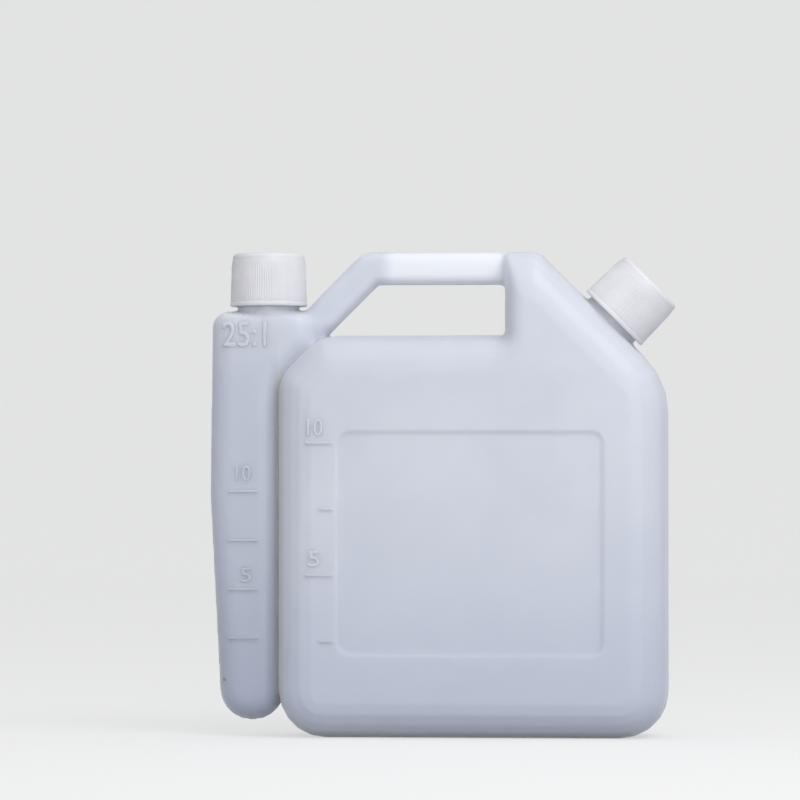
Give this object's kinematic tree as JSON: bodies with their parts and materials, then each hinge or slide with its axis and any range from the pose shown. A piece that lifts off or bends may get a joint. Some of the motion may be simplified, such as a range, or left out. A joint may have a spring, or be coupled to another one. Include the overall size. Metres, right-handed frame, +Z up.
{
  "type": "fuel mixing bottle",
  "caption": "Flat upright fuel and oil mixing bottle: graduated main chamber, slim measuring chamber, hollow handle between them, and ribbed screw caps on an upright and a slanted neck.",
  "frame": {"origin": "on the surface that the bottle stands on, below the middle of the whole bottle, on the plane where the two halves of the mould meet", "axes": "+Z up; +Y from the front face, which has the scales, to the back; -X towards the measuring chamber, +X towards the slanted neck"},
  "size_m": [0.2013, 0.0555, 0.2094],
  "materials": {
    "bottle": "natural blow-moulded polyethylene, milky and a little translucent, satin",
    "cap": "white moulded polypropylene, satin, finely ribbed skirt",
    "liner": "off-white foamed polyethylene wad"
  },
  "bodies": {
    "bottle": {"bottle_body": "bottle"},
    "main_liner": {"main_cap_liner": "liner"},
    "main_cap": {"main_cap": "cap"},
    "measuring_liner": {"measuring_cap_liner": "liner"},
    "measuring_cap": {"measuring_cap": "cap"}
  },
  "joints": [
    {"name": "main_cap_rise", "type": "slide", "parent": "bottle", "child": "main_liner", "axis": [0.7071, 0, 0.7071], "range_m": [0, 0.0254]},
    {"name": "main_cap_turn", "type": "hinge", "parent": "main_liner", "child": "main_cap", "pos_m": [0.07158, 0, 0.17863], "axis": [0.7071, 0, 0.7071], "range_deg": [0, 2160]},
    {"name": "measuring_cap_rise", "type": "slide", "parent": "bottle", "child": "measuring_liner", "axis": [0, 0, 1], "range_m": [0, 0.0254]},
    {"name": "measuring_cap_turn", "type": "hinge", "parent": "measuring_liner", "child": "measuring_cap", "pos_m": [-0.07629, 0, 0.1834], "axis": [0, 0, 1], "range_deg": [0, 2160]}
  ],
  "couplings": [
    {"joint": "main_cap_rise", "follows": "main_cap_turn", "m_per_rad": 0.00067322},
    {"joint": "measuring_cap_rise", "follows": "measuring_cap_turn", "m_per_rad": 0.00067322}
  ]
}
